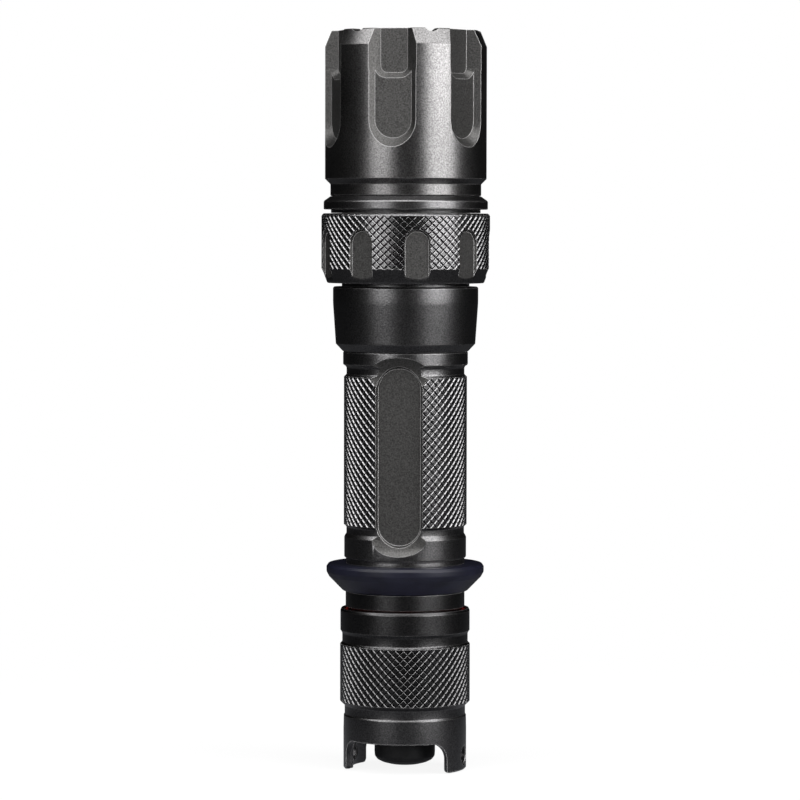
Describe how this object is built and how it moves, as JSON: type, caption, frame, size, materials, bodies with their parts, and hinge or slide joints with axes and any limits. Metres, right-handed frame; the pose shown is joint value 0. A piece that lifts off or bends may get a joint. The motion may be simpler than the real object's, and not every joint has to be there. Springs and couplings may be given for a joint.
{
  "type": "tactical flashlight",
  "caption": "Tactical flashlight with strike bezel, twist selector ring, knurled tube, rubber grip ring and a screw-off tailcap with rear click switch.",
  "frame": {"origin": "on the beam axis, in the plane of the tail lugs' end faces", "axes": "+Z along the beam towards the bezel, -Y out of the flat label panel, +X to the right seen from the panel side"},
  "size_m": [0.0348, 0.0348, 0.1526],
  "materials": {
    "anodised_bezel": "bead-blasted hard anodised, dark gunmetal",
    "anodised_body": "bead-blasted hard anodised, dark gunmetal",
    "lens_glass": "polished",
    "black_rubber": "matte moulded",
    "navy_rubber": "satin moulded",
    "red_rubber": "matte",
    "reflector_mirror": "vacuum metallised",
    "white_plastic": "moulded",
    "dark_plastic": "moulded",
    "red_plastic": "moulded",
    "led_phosphor": "silicone dome",
    "copper_board": "etched copper",
    "bare_aluminium": "turned",
    "green_board": "solder mask",
    "brass_part": "turned",
    "spring_steel": "drawn wire",
    "gold_spring": "gold plated wire",
    "nickel_steel": "nickel plated",
    "cell_wrap": "shrink film",
    "lead_wire": "silicone sleeve"
  },
  "bodies": {
    "light_body": {"head_housing": "anodised_body", "strike_bezel": "anodised_bezel", "front_lens": "lens_glass", "lens_o_ring": "black_rubber", "reflector": "reflector_mirror", "led_centering_gasket": "white_plastic", "led_emitter": "led_phosphor", "led_board": "copper_board", "led_pill": "bare_aluminium", "led_leads": "lead_wire", "driver_board": "green_board", "driver_components": "dark_plastic", "driver_retaining_ring": "brass_part", "driver_contact_spring": "gold_spring", "bezel_o_ring": "black_rubber", "retaining_collar": "anodised_body", "thrust_washer": "white_plastic", "ring_seals": "black_rubber", "snap_ring": "spring_steel", "detent_spring": "spring_steel", "head_o_ring": "black_rubber", "battery_tube": "anodised_body", "combat_ring": "navy_rubber", "tail_o_ring": "red_rubber"},
    "selector": {"selector_ring": "anodised_body", "selector_magnet": "nickel_steel"},
    "detent": {"detent_ball": "nickel_steel"},
    "cell": {"cell_can": "nickel_steel", "cell_sleeve": "cell_wrap", "cell_top_insulator": "white_plastic", "cell_button": "nickel_steel"},
    "tailcap": {"tailcap_housing": "anodised_body", "boot_rim": "black_rubber", "boot_clamp_ring": "bare_aluminium", "switch_body": "dark_plastic", "switch_spring": "spring_steel", "switch_board": "green_board", "tail_spring": "gold_spring", "switch_retaining_ring": "brass_part"},
    "button": {"boot_cap": "black_rubber", "switch_plunger": "red_plastic"}
  },
  "joints": [
    {"name": "selector_turn", "type": "hinge", "parent": "light_body", "child": "selector", "pos_m": [0, 0, 0.108], "axis": [0, 0, 1], "range_deg": [0, 90]},
    {"name": "detent_click", "type": "slide", "parent": "light_body", "child": "detent", "axis": [0, 1, 0], "range_m": [0, 0.00017]},
    {"name": "cell_drop", "type": "slide", "parent": "light_body", "child": "cell", "axis": [0, 0, -1], "range_m": [0, 0.008]},
    {"name": "tailcap_unscrew", "type": "hinge", "parent": "cell", "child": "tailcap", "pos_m": [0, 0, 0.02], "axis": [0, 0, -1], "range_deg": [0, 2880]},
    {"name": "button_press", "type": "slide", "parent": "tailcap", "child": "button", "axis": [0, 0, 1], "range_m": [0, 0.0018], "stiffness_N_per_m": 300, "deforming": ["switch_spring"]}
  ],
  "couplings": [
    {"joint": "tailcap_unscrew", "follows": "cell_drop", "rad_per_m": 6283.2}
  ]
}
